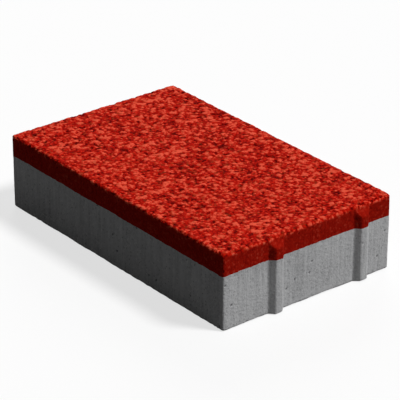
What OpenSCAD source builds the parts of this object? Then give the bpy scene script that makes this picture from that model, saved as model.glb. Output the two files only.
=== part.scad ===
// Rectangular concrete paving stone in two layers: a coloured facing on grey backing concrete.
// The stone lies on its bed face. X runs along its length, Y across it and Z up,
// with the origin at the middle of the bed face.

/* [Stone] */
// Laying length, from joint to joint
module_l = 260; // [200:1:320]
// Laying width, from joint to joint
module_w = 160; // [150:1:240]
// Joint that stays open between laid stones
joint_w = 4; // [3:0.5:6]
// Height of the stone
stone_h = 60; // [50:1:100]
// Radius of the upright corners
corner_r = 2; // [1:0.5:5]

/* [Facing layer] */
// Depth of the coloured facing
facing_h = 17; // [12:1:25]
// Bevel along the top edges, measured down and in
arris = 1.5; // [0.5:0.5:2]

/* [Spacer ribs] */
// Distance between the two ribs of one end
rib_pitch = 80; // [60:1:90]
// Shift of each pair off the middle, so that the ribs of neighbours pass side by side
rib_shift = 10; // [8:1:14]
// Width of a rib at its crown
rib_crown_w = 6; // [4:0.5:8]
// Run of each sloping flank, measured along the end face
rib_flank_w = 4; // [2:0.5:5]
// Distance from the top of the stone to the top of a rib
rib_drop = 3; // [2:0.5:6]
// Height of the slope at a rib's head
rib_head_h = 5; // [3:0.5:10]

/* [Hidden] */
$fn = 48;

// The stone is one joint smaller than the space that it takes up when laid
stone_l = module_l - joint_w;
stone_w = module_w - joint_w;
backing_h = stone_h - facing_h;

// A rib just bridges the joint
rib_d = joint_w;
rib_top = stone_h - rib_drop;
// Distance that a rib's root reaches into the stone
rib_root = 3;

// Distance that cutting solids reach past what they cut
overrun = 5;

// Rectangle about the origin with round corners
module round_rect(l, w, r) {
    square([l - 2 * r, w], center = true);
    square([l, w - 2 * r], center = true);
    for (sx = [-1, 1], sy = [-1, 1])
        translate([sx * (l / 2 - r), sy * (w / 2 - r)])
            circle(r);
}

// Cross section of the stone with bevelled top edges, for a given width
module bevelled_section(w) {
    polygon([
        [-w / 2, 0],
        [w / 2, 0],
        [w / 2, stone_h - arris],
        [w / 2 - arris, stone_h],
        [-w / 2 + arris, stone_h],
        [-w / 2, stone_h - arris]
    ]);
}

// Section standing in the XZ plane, drawn out along Y
module along_y(length) {
    rotate([90, 0, 0])
        linear_extrude(length, center = true)
            children();
}

// Stone without its ribs
module plain_stone() {
    intersection() {
        linear_extrude(stone_h)
            round_rect(stone_l, stone_w, corner_r);
        along_y(stone_w + 2 * overrun)
            bevelled_section(stone_l);
        rotate([0, 0, 90])
            along_y(stone_l + 2 * overrun)
                bevelled_section(stone_w);
    }
}

// Plan of a rib on an end face at x = 0, with sloping flanks
module rib_plan() {
    crown = rib_crown_w / 2;
    foot = crown + rib_flank_w;
    polygon([
        [-rib_root, -foot],
        [0, -foot],
        [rib_d, -crown],
        [rib_d, crown],
        [0, foot],
        [-rib_root, foot]
    ]);
}

// Side view of a rib, with its sloping head
module rib_side() {
    polygon([
        [-rib_root, 0],
        [rib_d, 0],
        [rib_d, rib_top - rib_head_h],
        [0, rib_top],
        [-rib_root, rib_top]
    ]);
}

// Spacer rib on an end face at x = 0
module rib() {
    intersection() {
        linear_extrude(stone_h)
            rib_plan();
        along_y(rib_crown_w + 2 * rib_flank_w + 2 * overrun)
            rib_side();
    }
}

// The two ends are the same when the stone is turned half round
module end_ribs() {
    for (turn = [0, 180], side = [-1, 1])
        rotate([0, 0, turn])
            translate([stone_l / 2, rib_shift + side * rib_pitch / 2, 0])
                rib();
}

module whole_stone() {
    union() {
        plain_stone();
        end_ribs();
    }
}

// Block that takes in the whole stone between two heights
module slab(low, high) {
    l = stone_l + 2 * rib_d + 2 * overrun;
    w = stone_w + 2 * overrun;
    translate([-l / 2, -w / 2, low])
        cube([l, w, high - low]);
}

module facing_layer() {
    color([0.66, 0.14, 0.10])
        intersection() {
            whole_stone();
            slab(backing_h, stone_h + overrun);
        }
}

module backing_concrete() {
    color([0.55, 0.55, 0.56])
        intersection() {
            whole_stone();
            slab(-overrun, backing_h);
        }
}

facing_layer();
backing_concrete();
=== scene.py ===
import math

import bpy
import numpy as np
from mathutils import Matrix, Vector


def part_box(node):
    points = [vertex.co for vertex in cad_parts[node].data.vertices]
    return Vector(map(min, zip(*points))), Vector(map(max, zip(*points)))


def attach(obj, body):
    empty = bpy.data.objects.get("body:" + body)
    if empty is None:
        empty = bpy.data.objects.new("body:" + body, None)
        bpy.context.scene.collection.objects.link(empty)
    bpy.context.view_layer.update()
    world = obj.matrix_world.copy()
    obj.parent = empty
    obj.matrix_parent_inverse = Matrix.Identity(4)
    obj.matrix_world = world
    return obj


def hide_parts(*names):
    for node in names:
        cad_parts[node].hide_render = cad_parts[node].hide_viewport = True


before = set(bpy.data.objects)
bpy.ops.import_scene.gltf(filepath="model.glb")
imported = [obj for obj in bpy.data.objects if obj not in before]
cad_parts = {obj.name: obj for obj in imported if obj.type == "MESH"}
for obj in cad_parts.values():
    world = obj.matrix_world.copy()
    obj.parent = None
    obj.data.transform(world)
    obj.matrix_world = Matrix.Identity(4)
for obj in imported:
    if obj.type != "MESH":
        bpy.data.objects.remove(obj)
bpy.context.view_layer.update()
facingLow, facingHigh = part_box("facing_layer")
print("frame loaded")

# Lengths are in metres. X runs along the stone, Y across it and Z up from its bed face.

# Outline of the stone, shared by both layers
ribs = {
    "depth": 0.004,        # how far a rib stands out from its end face
    "crown": 0.006,        # width of the flat crown
    "flank": 0.004,        # run of each sloping flank
    "pitch": 0.080,        # between the two ribs of one end
    "shift": 0.010,        # of the pair, off the middle of the end
    "drop": 0.003,         # from the top of the stone to the top of a rib
    "head": 0.005,         # height of the slope at the head
}
stone = {
    "length": facingHigh.x - facingLow.x - 2 * ribs["depth"],
    "width": facingHigh.y - facingLow.y,
    "top": facingHigh.z,
    "seam": facingLow.z,   # height of the line between the layers
    "corner": 0.002,       # radius of the upright corners
    "arris": 0.0015,       # bevel along the top edges
    "spacing": 0.00075,    # between neighbouring points of a mesh
    "hiddenStep": 4,       # a hidden face has one cell for this many on a side
    "hiddenInset": 0.003,  # from the rim of a hidden face to its cells
    "seamWave": 0.0005,    # wander of the line between the layers
    "seamWaves": [(0.021, 0.5), (0.006, 0.3), (0.0021, 0.4)],  # length and share of each wave in it
    "seamFade": 0.0015,    # relief dies out over this distance from the line
    "seed": 11,
}


def smoothStep(low, high, value):
    part = np.clip((value - low) / (high - low), 0, 1)
    return part * part * (3 - 2 * part)


def softNoise(points, size, seed):
    # smooth hills from about -1 to 1, a cell of the given size to each
    cells = points / size
    cells = cells - cells.min(axis=0)
    whole = np.floor(cells).astype(int)
    part = smoothStep(0, 1, cells - whole)
    table = np.random.default_rng(seed).uniform(-1, 1, whole.max(axis=0) + 2)
    total = np.zeros(len(points))
    for corner in np.ndindex(2, 2, 2):
        share = np.prod(np.where(corner, part, 1 - part), axis=1)
        total += share * table[tuple((whole + corner).T)]
    return total


def packedGrains(points, size, radii, seed):
    # round grains thrown together: lift from 0 in the gaps to 1 on a crest, and a shade for each grain
    cells = points / size
    cells = cells - cells.min(axis=0) + 1
    whole = np.floor(cells).astype(int)
    rng = np.random.default_rng(seed)
    shape = whole.max(axis=0) + 2
    centres = rng.random((*shape, 3))
    radius = rng.uniform(*radii, shape)
    shade = rng.random(shape)
    lift = np.zeros(len(points))
    tint = np.full(len(points), 0.5)
    for step in np.ndindex(3, 3, 3):
        at = whole + step - 1
        key = tuple(at.T)
        gap = ((at + centres[key] - cells) ** 2).sum(axis=1)
        height = np.sqrt(np.clip(1 - gap / radius[key] ** 2, 0, 1))
        higher = height > lift
        lift = np.where(higher, height, lift)
        tint = np.where(higher, shade[key], tint)
    return lift, tint


def evenCells(length):
    # cells along a side, a number that the wider cells of a hidden face divide
    return int(round(length / stone["spacing"] / stone["hiddenStep"])) * stone["hiddenStep"]


# The lattice of a level face, and its rim walked once round, anticlockwise from above
columns, rows = evenCells(stone["length"]), evenCells(stone["width"])
gridX = np.linspace(-0.5, 0.5, columns + 1)
gridY = np.linspace(-0.5, 0.5, rows + 1)
rimColumn = np.concatenate([
    np.arange(columns),
    np.full(rows, columns),
    np.arange(columns, 0, -1),
    np.zeros(rows, int),
])
rimRow = np.concatenate([
    np.zeros(columns, int),
    np.arange(rows),
    np.full(columns, rows),
    np.arange(rows, 0, -1),
])
rimBase = np.column_stack([gridX[rimColumn] * stone["length"], gridY[rimRow] * stone["width"]])
rimReach = np.array([stone["length"], stone["width"]]) / 2 - stone["corner"]
rimFoot = np.clip(rimBase, -rimReach, rimReach)
rimOut = rimBase - rimFoot
rimOut = rimOut / np.linalg.norm(rimOut, axis=1, keepdims=True)
rimEnd = np.where(np.abs(rimOut[:, 0]) > 0.99, np.sign(rimOut[:, 0]), 0)  # 1 or -1 on the end faces


def ribBulge(heights):
    # how far the ribs push the rim out along X at the given heights
    across = rimBase[:, 1] * rimEnd - ribs["shift"]
    fromRib = np.abs(np.abs(across) - ribs["pitch"] / 2)
    plan = (ribs["crown"] / 2 + ribs["flank"] - fromRib) / ribs["flank"]
    head = (stone["top"] - ribs["drop"] - heights) / ribs["head"]
    return rimEnd * ribs["depth"] * np.clip(np.minimum(plan, head), 0, 1)


def ring(heights, inset=0.0):
    # points once round the stone, a step of the rim apart
    heights = np.broadcast_to(heights, len(rimBase)).astype(float)
    flat = rimFoot + (stone["corner"] - inset) * rimOut
    return np.column_stack([flat[:, 0] + ribBulge(heights), flat[:, 1], heights])


def outward(tip=0.0):
    # unit vectors out of the rim, tipped up by a share
    return np.column_stack([rimOut * math.sqrt(1 - tip * tip), np.full(len(rimOut), tip)])


def levelPoints(height, inset, step):
    # points of a level face, on every step-th line of the lattice
    alongX = gridX[::step] * (stone["length"] - 2 * inset)
    alongY = gridY[::step] * (stone["width"] - 2 * inset)
    return np.stack(np.meshgrid(alongX, alongY, [height], indexing="ij"), axis=-1)[:, :, 0]


class Shell:
    # points and faces of a closed block, built from a cap, rings and a cap
    def __init__(self):
        self.points, self.normals, self.faces = [], [], []
        self.count = 0

    def add(self, points, normals):
        ids = np.arange(self.count, self.count + len(points))
        self.points.append(points)
        self.normals.append(np.broadcast_to(normals, points.shape))
        self.count += len(points)
        return ids

    def wall(self, upper, points, normals):
        # a ring of points, joined to the rim above it, whose own rim is returned
        lower = self.add(points, normals)
        nextUpper, nextLower = np.roll(upper, -1), np.roll(lower, -1)
        self.faces += np.column_stack([lower, nextLower, nextUpper, upper]).tolist()
        return lower

    def level(self, places, up):
        # four-sided cells between rows of points, whose places in the list are returned
        ids = self.add(places.reshape(-1, 3), (0, 0, 1 if up else -1)).reshape(places.shape[:2])
        quads = np.stack([ids[:-1, :-1], ids[1:, :-1], ids[1:, 1:], ids[:-1, 1:]], axis=-1)
        quads = quads.reshape(-1, 4)
        self.faces += (quads if up else quads[:, ::-1]).tolist()
        return ids

    def fineCap(self, height, inset):
        # an upper face with a cell for every step of the rim, whose rim is returned
        places = levelPoints(height, inset, 1)
        places[rimColumn, rimRow] = ring(height, inset)
        return self.level(places, up=True)[rimColumn, rimRow]

    def coarseCap(self, rim, height, inset, step, up):
        # a face with wider cells, joined to a rim that is already there
        ids = self.level(levelPoints(height, inset, step), up)
        inner = ids[rimColumn[::step] // step, rimRow[::step] // step]
        for i in range(len(inner)):
            outer = [rim[(i * step + k) % len(rim)] for k in range(step + 1)]
            loop = outer + [inner[(i + 1) % len(inner)], inner[i]]
            self.faces.append([int(v) for v in (loop if up else loop[::-1])])

    def finish(self, name, relief, seamRim, attributes):
        # a smooth piece pushed out by the relief, with a hard edge along the seam
        points, normals = np.concatenate(self.points), np.concatenate(self.normals)
        points = points + normals * relief[:, None]
        mesh = bpy.data.meshes.new(name)
        mesh.from_pydata(points.tolist(), [], self.faces)
        for key, values in attributes.items():
            layer = mesh.attributes.new(key, "FLOAT", "POINT")
            layer.data.foreach_set("value", values.astype(np.float32))
        mesh.shade_smooth()
        ends = np.empty(2 * len(mesh.edges), np.int32)
        mesh.edges.foreach_get("vertices", ends)
        mesh.edges.foreach_set("use_edge_sharp", np.isin(ends.reshape(-1, 2), seamRim).all(axis=1))
        mesh.update()
        piece = bpy.data.objects.new(name, mesh)
        bpy.context.scene.collection.objects.link(piece)
        print(name, len(mesh.vertices), "points", len(mesh.polygons), "faces")
        return piece


# The line between the layers wanders a little round the stone
seamPoints = np.column_stack([rimBase, np.zeros(len(rimBase))])
seamLine = stone["seam"] + stone["seamWave"] * sum(
    share * softNoise(seamPoints, size, stone["seed"] + i)
    for i, (size, share) in enumerate(stone["seamWaves"])
)

# Facing layer: coarse grains in coloured paste, rough on top and smoother where the mould pressed it
facing = {
    "bevelShares": (0.33, 0.67, 1.0),  # places of the rings down the bevel
    "bevelBulge": 0.22,    # how round the bevel is
    "bevelTip": 0.9,       # how far up the relief of its upper edge points
    "wallRows": 16,
    "coarseSize": 0.0042,
    "coarseRadii": (0.42, 0.84),  # of a grain, as shares of that size
    "smallSize": 0.0024,
    "smallRadii": (0.45, 0.95),
    "smallShare": 0.72,    # height of the small grains beside the coarse ones
    "grainHeight": 0.00095,
    "grainLevel": 0.75,    # share of a coarse grain that lies below the face
    "swellSize": 0.013,
    "swellHeight": 0.00014,
    "gritSize": 0.0011,
    "gritHeight": 0.00007,
    "wallShare": 0.13,     # relief on the sides, as a share of that on top
    "wallFade": 0.0018,    # distance below the bevel over which it dies down
    "poreSize": 0.0070,
    "poreRadii": (0.02, 0.14),
    "poreDepth": 0.0006,
    "chipSize": 0.0055,    # worn places along the bevel
    "chipRange": (0.25, 0.8),  # noise over which such a place sinks in
    "chipDepth": 0.0003,
    "seed": 23,
}


def buildFacing():
    shell = Shell()
    top, arris, seed = stone["top"], stone["arris"], facing["seed"]
    rim = shell.fineCap(top, arris)
    for share in facing["bevelShares"]:
        bulge = facing["bevelBulge"] * arris * math.sin(math.pi * share) / 2
        points = ring(top - arris * share + bulge, arris * (1 - share) - bulge)
        rim = shell.wall(rim, points, outward(facing["bevelTip"] * math.cos(share * math.pi / 2)))
    for share in np.linspace(0, 1, facing["wallRows"] + 1)[1:]:
        rim = shell.wall(rim, ring((top - arris) * (1 - share) + seamLine * share), outward())
    shell.coarseCap(rim, stone["seam"], stone["hiddenInset"], stone["hiddenStep"], up=False)

    base, normals = np.concatenate(shell.points), np.concatenate(shell.normals)
    coarse, coarseTint = packedGrains(base, facing["coarseSize"], facing["coarseRadii"], seed)
    small, smallTint = packedGrains(base, facing["smallSize"], facing["smallRadii"], seed + 1)
    pore, _ = packedGrains(base, facing["poreSize"], facing["poreRadii"], seed + 2)
    small = small * facing["smallShare"]
    lift = np.maximum(coarse, small)
    relief = (
        facing["grainHeight"] * (lift - facing["grainLevel"])
        + facing["swellHeight"] * softNoise(base, facing["swellSize"], seed + 3)
        + facing["gritHeight"] * softNoise(base, facing["gritSize"], seed + 4)
    )
    pressed = smoothStep(0, facing["wallFade"], top - arris - base[:, 2])  # 0 on top, 1 on the sides
    pore = pore * pressed
    relief = relief * (1 - (1 - facing["wallShare"]) * pressed) - facing["poreDepth"] * pore
    onBevel = np.abs(normals[:, 2] - 0.5) < 0.45  # neither level nor upright
    chips = smoothStep(*facing["chipRange"], softNoise(base, facing["chipSize"], seed + 5))
    relief = relief - facing["chipDepth"] * chips * onBevel
    relief = relief * smoothStep(0, stone["seamFade"], base[:, 2] - stone["seam"] - stone["seamWave"])
    return shell.finish("facingLayer", relief, rim, {
        "grainLift": lift,
        "grainTint": np.where(coarse > small, coarseTint, smallTint),
        "pressed": pressed,
        "pore": pore,
    })


# Backing concrete: pressed grey concrete with drag marks up the sides and open pores
backing = {
    "wallRows": 56,
    "dragSize": (0.0022, 0.0022, 0.030),
    "dragDepth": 0.00010,
    "sandSize": 0.0017,
    "sandRadii": (0.45, 0.9),
    "sandHeight": 0.00008,
    "sandLevel": 0.7,      # share of a grain that lies below the face
    "waveSize": 0.019,
    "waveHeight": 0.00018,
    "poreSize": 0.0090,
    "poreRadii": (0.02, 0.13),
    "poreDepth": 0.0008,
    "bedEdge": 0.0010,     # worn edge round the bed face
    "bedEdgeShares": (0.5, 1.0),  # places of the rings round that edge
    "bedEdgeTip": 0.9,     # how far down the relief of its lower edge points
    "bedStep": 2,          # the bed face has one cell for this many on a side
    "bedInset": 0.002,     # from its rim to its cells
    "bedRange": (0.3, 0.9),  # how far down a face looks, from the sides to the bed
    "bedRough": 0.00035,
    "bedRoughSize": 0.004,
    "seed": 47,
}


def buildBacking():
    shell = Shell()
    edge, seed = backing["bedEdge"], backing["seed"]
    seamRim = shell.add(ring(seamLine), outward())
    shell.coarseCap(seamRim, stone["seam"], stone["hiddenInset"], stone["hiddenStep"], up=True)
    rim = seamRim
    for share in np.linspace(0, 1, backing["wallRows"] + 1)[1:]:
        rim = shell.wall(rim, ring(seamLine * (1 - share) + edge * share), outward())
    for share in backing["bedEdgeShares"]:
        turn = share * math.pi / 2
        points = ring(edge * (1 - math.sin(turn)), edge * (1 - math.cos(turn)))
        rim = shell.wall(rim, points, outward(-backing["bedEdgeTip"] * math.sin(turn)))
    shell.coarseCap(rim, 0.0, backing["bedInset"], backing["bedStep"], up=False)

    base, normals = np.concatenate(shell.points), np.concatenate(shell.normals)
    drag = softNoise(base, np.array(backing["dragSize"]), seed)
    sand, sandTint = packedGrains(base, backing["sandSize"], backing["sandRadii"], seed + 1)
    wave = softNoise(base, backing["waveSize"], seed + 2)
    pore, _ = packedGrains(base, backing["poreSize"], backing["poreRadii"], seed + 3)
    bed = smoothStep(*backing["bedRange"], -normals[:, 2])  # 0 on the sides, 1 on the bed face
    relief = (
        backing["dragDepth"] * drag * (1 - bed)
        + backing["sandHeight"] * (sand - backing["sandLevel"])
        + backing["waveHeight"] * wave
        - backing["poreDepth"] * pore
    )
    bedNoise = softNoise(base, backing["bedRoughSize"], seed + 4)
    relief = relief - bed * backing["bedRough"] * (1 + bedNoise)
    relief = relief * smoothStep(0, stone["seamFade"], stone["seam"] - stone["seamWave"] - base[:, 2])
    relief = np.where(bed > 0.5, np.minimum(relief, 0), relief)  # nothing reaches below the bed face
    return shell.finish("backingConcrete", relief, seamRim, {
        "pore": pore,
        "sandTint": sandTint,
        "drag": 0.5 + 0.5 * drag,
    })


facingPiece = buildFacing()
backingPiece = buildBacking()
print("stone built")


class Wire:
    # a socket in a shader: sums on it add Math nodes
    def __init__(self, tree, socket=None):
        self.tree, self.socket = tree, socket

    def node(self, kind, settings, sockets, output=0):
        made = self.tree.nodes.new(kind)
        for name, value in settings.items():
            if name == "stops":
                self.fillRamp(made.color_ramp, value)
            else:
                setattr(made, name, value)
        for name, value in sockets.items():
            if isinstance(value, Wire):
                self.tree.links.new(value.socket, made.inputs[name])
            else:
                made.inputs[name].default_value = value
        return Wire(self.tree, made.outputs[output] if made.outputs else None)

    def fillRamp(self, ramp, stops):
        while len(ramp.elements) < len(stops):
            ramp.elements.new(0.5)
        for element, (place, colour) in zip(ramp.elements, stops):
            element.position = place
            element.color = (*colour, 1)

    def math(self, operation, first, second):
        return self.node("ShaderNodeMath", {"operation": operation}, {0: first, 1: second})

    def __add__(self, other):
        return self.math("ADD", self, other)

    def __radd__(self, other):
        return self.math("ADD", other, self)

    def __sub__(self, other):
        return self.math("SUBTRACT", self, other)

    def __rsub__(self, other):
        return self.math("SUBTRACT", other, self)

    def __mul__(self, other):
        return self.math("MULTIPLY", self, other)

    def __rmul__(self, other):
        return self.math("MULTIPLY", other, self)

    def swing(self, share):
        # a value that varies about 0.5, made to vary about 0 by a share as much
        return share * (self - 0.5)

    def between(self, low, high):
        # this wire's value as a share of the way from low to high
        return self.node("ShaderNodeMapRange", {"clamp": True},
                         {"Value": self, "From Min": low, "From Max": high})

    def blend(self, first, second, way="MIX"):
        # colours mixed by this wire's value
        return self.node("ShaderNodeMix", {"data_type": "RGBA", "blend_type": way},
                         {0: self, 6: first, 7: second}, 2)


def newFinish(name):
    material = bpy.data.materials.new(name)
    material.use_nodes = True
    material.node_tree.nodes.clear()
    return material, Wire(material.node_tree)


def readPoints(wire, name):
    return wire.node("ShaderNodeAttribute", {"attribute_name": name}, {}, "Fac")


def noise(wire, place, size, detail=2.0, roughness=0.5):
    return wire.node("ShaderNodeTexNoise", {}, {
        "Vector": place, "Scale": 1 / size, "Detail": detail, "Roughness": roughness,
    })


def grains(wire, place, size):
    # distance from the middle of the nearest small grain, and a shade for each grain
    sockets = {"Vector": place, "Scale": 1 / size}
    shade = wire.node("ShaderNodeTexVoronoi", {}, sockets, "Color")
    return (
        wire.node("ShaderNodeTexVoronoi", {}, sockets, "Distance"),
        wire.node("ShaderNodeSeparateColor", {}, {"Color": shade}, "Red"),
    )


dragMarks = {
    "size": 0.0013,
    "stretch": (1.0, 1.0, 0.06),  # they run up the sides
}


def streaks(wire, place):
    # thin marks left where the sides slid out of the mould
    upright = wire.node("ShaderNodeVectorMath", {"operation": "MULTIPLY"},
                        {0: place, 1: dragMarks["stretch"]})
    return noise(wire, upright, dragMarks["size"])


def finishSurface(wire, colour, roughness, height, depth, shine):
    normal = wire.node("ShaderNodeBump", {}, {"Strength": 1.0, "Distance": depth, "Height": height})
    surface = wire.node("ShaderNodeBsdfPrincipled", {}, {
        "Base Color": colour,
        "Roughness": roughness,
        "Specular IOR Level": shine,
        "Normal": normal,
    })
    wire.node("ShaderNodeOutputMaterial", {}, {"Surface": surface})


redFinish = {
    "stops": [  # colour by shade
        (0.14, (0.095, 0.0010, 0.0006)),  # painted shade in the pits between the grains
        (0.36, (0.345, 0.0045, 0.0018)),
        (0.58, (0.550, 0.010, 0.0030)),   # paste
        (0.82, (0.800, 0.094, 0.048)),    # pale crests, partly the grains' own pale tone and partly painted light on their tops
    ],
    # the lift share paints shade low between the grains and light on their crests; the tint share is
    # their own tone
    "topShade": {"base": -0.02, "lift": 0.50, "tint": 0.52},
    # the pore share paints shade inside the pores of the sides
    "sideShade": {"base": 0.54, "tint": 0.06, "grit": 0.45, "streak": 0.25, "pore": 0.5},
    "sideTone": (0.66, 0.90, 1.00, 1),   # the sides are darker and a little duller
    "gritSize": 0.0018,
    "gritShade": 0.36,
    "gapRange": (0.55, 0.95),  # distance from a grain's middle over which painted shade darkens the gap round it
    "gapPaintedShade": 0.3,
    "fineSize": 0.0006,
    "fineShade": 0.3,
    "patchSize": 0.045,
    "patchShade": 0.1,
    "brownGrain": (0.340, 0.050, 0.016, 1),
    "brownShuffle": 9.0,       # picks brown grains among both pale and dark ones
    "brownRange": (0.86, 0.90),
    "brownShare": 0.4,
    "roughness": 0.96,
    "crestPolish": 0.1,
    "bump": {"fine": 0.5, "gap": 0.7, "streak": 0.3},
    "bumpDepth": 0.00055,
    "sideSmooth": 0.6,         # share of that bump that the sides lose
    "shine": 0.02,
}


def paintFacing(piece):
    material, wire = newFinish("redFacing")
    place = wire.node("ShaderNodeTexCoord", {}, {}, "Object")
    lift = readPoints(wire, "grainLift")
    tint = readPoints(wire, "grainTint")
    pressed = readPoints(wire, "pressed")
    pore = readPoints(wire, "pore")
    gap, gritTone = grains(wire, place, redFinish["gritSize"])
    fine = noise(wire, place, redFinish["fineSize"], detail=3.0, roughness=0.65)
    patch = noise(wire, place, redFinish["patchSize"])
    streak = streaks(wire, place)

    top, side, bump = redFinish["topShade"], redFinish["sideShade"], redFinish["bump"]
    crumbs = fine.swing(redFinish["fineShade"]) + patch.swing(redFinish["patchShade"])
    grit = gritTone.swing(redFinish["gritShade"])
    # painted shade in the gaps round the small grains
    grit = grit - redFinish["gapPaintedShade"] * gap.between(*redFinish["gapRange"])
    # painted light and shade from the grains' height: low parts darker, crests lighter, beside their own
    # tone
    rough = top["base"] + top["lift"] * lift + top["tint"] * tint + grit + crumbs
    smooth = side["base"] + tint.swing(side["tint"]) + side["grit"] * grit + streak.swing(side["streak"])
    # the pores on the sides get painted shade
    smooth = smooth + crumbs - side["pore"] * pore
    shade = rough + (smooth - rough) * pressed
    colour = wire.node("ShaderNodeValToRGB", {"stops": redFinish["stops"]}, {"Fac": shade})
    brown = wire.math("FRACT", gritTone * redFinish["brownShuffle"], 0.0)
    brown = brown.between(*redFinish["brownRange"]) * redFinish["brownShare"]
    colour = (brown * (1 - pressed)).blend(colour, redFinish["brownGrain"])
    colour = pressed.blend(colour, redFinish["sideTone"], "MULTIPLY")
    roughness = redFinish["roughness"] - redFinish["crestPolish"] * lift
    height = (bump["fine"] * fine - bump["gap"] * gap) * (1 - redFinish["sideSmooth"] * pressed)
    height = height + bump["streak"] * streak * pressed
    finishSurface(wire, colour, roughness, height, redFinish["bumpDepth"], redFinish["shine"])
    piece.data.materials.append(material)


greyFinish = {
    "darkPaste": (0.425, 0.426, 0.433, 1),
    "paste": (0.545, 0.546, 0.553, 1),
    "palePaste": (0.640, 0.640, 0.642, 1),
    "shade": {"cloud": 0.35, "sand": 0.15, "drag": 0.2, "streak": 0.25, "fine": 0.25},
    "darkRange": (0.42, 0.60),  # shade over which dark paste turns plain
    "paleRange": (0.62, 0.82),  # and plain paste turns pale
    "darkSand": (0.270, 0.270, 0.276, 1),
    "paleSand": (0.740, 0.735, 0.720, 1),
    "darkGrains": (0.12, 0.18),  # grains below these tones are dark
    "paleGrains": (0.82, 0.88),  # and above these are pale
    "grainEdge": (0.30, 0.45),
    "sandShare": 0.6,           # how plainly sand shows through the paste
    # painted shade inside the pores
    "paintedPoreShade": (0.200, 0.200, 0.206, 1),
    "poreEdge": (0.05, 0.5),
    "cloudSize": 0.024,
    "sandSize": 0.0017,
    "fineSize": 0.0006,
    "roughness": 0.82,
    "fineRoughness": 0.12,
    "bump": {"fine": 0.6, "streak": 0.5, "gap": 0.5},
    "bumpDepth": 0.00030,
    "shine": 0.08,
}


def paintBacking(piece):
    material, wire = newFinish("greyConcrete")
    place = wire.node("ShaderNodeTexCoord", {}, {}, "Object")
    pore = readPoints(wire, "pore")
    sand = readPoints(wire, "sandTint")
    drag = readPoints(wire, "drag")
    fine = noise(wire, place, greyFinish["fineSize"], detail=3.0, roughness=0.65)
    cloud = noise(wire, place, greyFinish["cloudSize"], detail=3.0, roughness=0.55)
    streak = streaks(wire, place)
    gap, sandTone = grains(wire, place, greyFinish["sandSize"])

    part, bump = greyFinish["shade"], greyFinish["bump"]
    shade = part["cloud"] * cloud + part["sand"] * sand + part["drag"] * drag
    shade = shade + part["streak"] * streak + part["fine"] * fine
    colour = shade.between(*greyFinish["darkRange"]).blend(greyFinish["darkPaste"], greyFinish["paste"])
    colour = shade.between(*greyFinish["paleRange"]).blend(colour, greyFinish["palePaste"])
    inGrain = (1 - gap.between(*greyFinish["grainEdge"])) * greyFinish["sandShare"]
    pale = inGrain * sandTone.between(*greyFinish["paleGrains"])
    dark = inGrain * (1 - sandTone.between(*greyFinish["darkGrains"]))
    colour = pale.blend(colour, greyFinish["paleSand"])
    colour = dark.blend(colour, greyFinish["darkSand"])
    # painted shade in the pores
    colour = pore.between(*greyFinish["poreEdge"]).blend(colour, greyFinish["paintedPoreShade"])
    roughness = greyFinish["roughness"] + greyFinish["fineRoughness"] * fine
    height = bump["fine"] * fine + bump["streak"] * streak - bump["gap"] * gap
    finishSurface(wire, colour, roughness, height, greyFinish["bumpDepth"], greyFinish["shine"])
    piece.data.materials.append(material)


paintFacing(facingPiece)
paintBacking(backingPiece)
for piece, node, slot in (
    (facingPiece, "facing_layer", "red_facing"),
    (backingPiece, "backing_concrete", "grey_concrete"),
):
    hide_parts(node)
    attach(piece, "root")
print("finishes painted")

# Studio: pale floor, a soft lamp from the right, a weaker one from behind and a faint even fill
studio = {
    "white": (1, 1, 1, 1),   # floor and sky as the camera sees them
    "floorSize": 12.0,
    "floorDrop": 0.0002,     # the floor lies this far below the bed face
    "floorBounce": (0.10, 0.10, 0.10, 1),  # floor as the stone sees it
    "floorGlow": 0.7,        # share of the floor's white that no shadow darkens
    "lamps": {  # direction that the light comes from, softness in degrees across, power
        "keyLamp": ((0.46, 0.36, 0.81), 14.0, 2.95),
        "backLamp": ((-0.70, 0.60, 0.40), 30.0, 0.9),
    },
    "fill": 0.06,
}


def seenDirectly(wire):
    # 1 for what the camera sees, straight or in a reflection
    rays = [wire.node("ShaderNodeLightPath", {}, {}, name)
            for name in ("Is Camera Ray", "Is Glossy Ray", "Is Transmission Ray")]
    return wire.math("MAXIMUM", rays[0], wire.math("MAXIMUM", rays[1], rays[2]))


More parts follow.
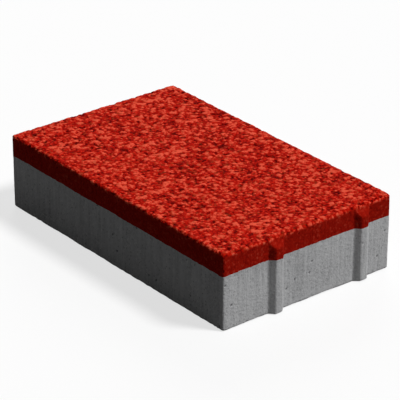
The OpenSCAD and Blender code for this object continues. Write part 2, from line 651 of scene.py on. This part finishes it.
def buildFloor():
    half = studio["floorSize"] / 2
    corners = [(-half, -half), (half, -half), (half, half), (-half, half)]
    mesh = bpy.data.meshes.new("studioFloor")
    mesh.from_pydata([(x, y, -studio["floorDrop"]) for x, y in corners], [], [(0, 1, 2, 3)])
    floor = bpy.data.objects.new("studioFloor", mesh)
    bpy.context.scene.collection.objects.link(floor)
    material, wire = newFinish("studioFloor")
    seen = seenDirectly(wire)
    colour = seen.blend(studio["floorBounce"], studio["white"])
    matt = wire.node("ShaderNodeBsdfDiffuse", {}, {"Color": colour})
    glow = wire.node("ShaderNodeEmission", {}, {"Color": studio["white"], "Strength": 1.0})
    surface = wire.node("ShaderNodeMixShader", {}, {0: seen * studio["floorGlow"], 1: matt, 2: glow})
    wire.node("ShaderNodeOutputMaterial", {}, {"Surface": surface})
    mesh.materials.append(material)


def lightStudio():
    for name, (comesFrom, softness, power) in studio["lamps"].items():
        lamp = bpy.data.lights.new(name, "SUN")
        lamp.energy = power
        lamp.angle = math.radians(softness)
        holder = bpy.data.objects.new(name, lamp)
        holder.rotation_mode = "QUATERNION"
        holder.rotation_quaternion = Vector(comesFrom).to_track_quat("Z", "Y")
        bpy.context.scene.collection.objects.link(holder)
    world = bpy.data.worlds.new("studioWorld")
    bpy.context.scene.world = world
    world.use_nodes = True
    world.node_tree.nodes.clear()
    wire = Wire(world.node_tree)
    strength = studio["fill"] + (1 - studio["fill"]) * seenDirectly(wire)
    sky = wire.node("ShaderNodeBackground", {}, {"Color": studio["white"], "Strength": strength})
    wire.node("ShaderNodeOutputWorld", {}, {"Surface": sky})


camera = {
    "azimuth": 51.5,    # degrees round the stone and above it
    "elevation": 26.0,
    "lens": 217.0,      # millimetres
    "distance": 1.80,
    "aim": (0.002, 0.002, 0.030),
    "clipEnd": 50.0,
}


def placeCamera():
    lens = bpy.data.cameras.new("photoCamera")
    lens.lens = camera["lens"]
    lens.clip_end = camera["clipEnd"]
    holder = bpy.data.objects.new("photoCamera", lens)
    bpy.context.scene.collection.objects.link(holder)
    turn, rise = math.radians(camera["azimuth"]), math.radians(camera["elevation"])
    back = Vector((math.sin(turn) * math.cos(rise), -math.cos(turn) * math.cos(rise), math.sin(rise)))
    holder.location = Vector(camera["aim"]) + back * camera["distance"]
    holder.rotation_mode = "QUATERNION"
    holder.rotation_quaternion = (-back).to_track_quat("-Z", "Y")
    bpy.context.scene.camera = holder


buildFloor()
lightStudio()
placeCamera()
bpy.context.scene.view_settings.view_transform = "Standard"
print("studio set")
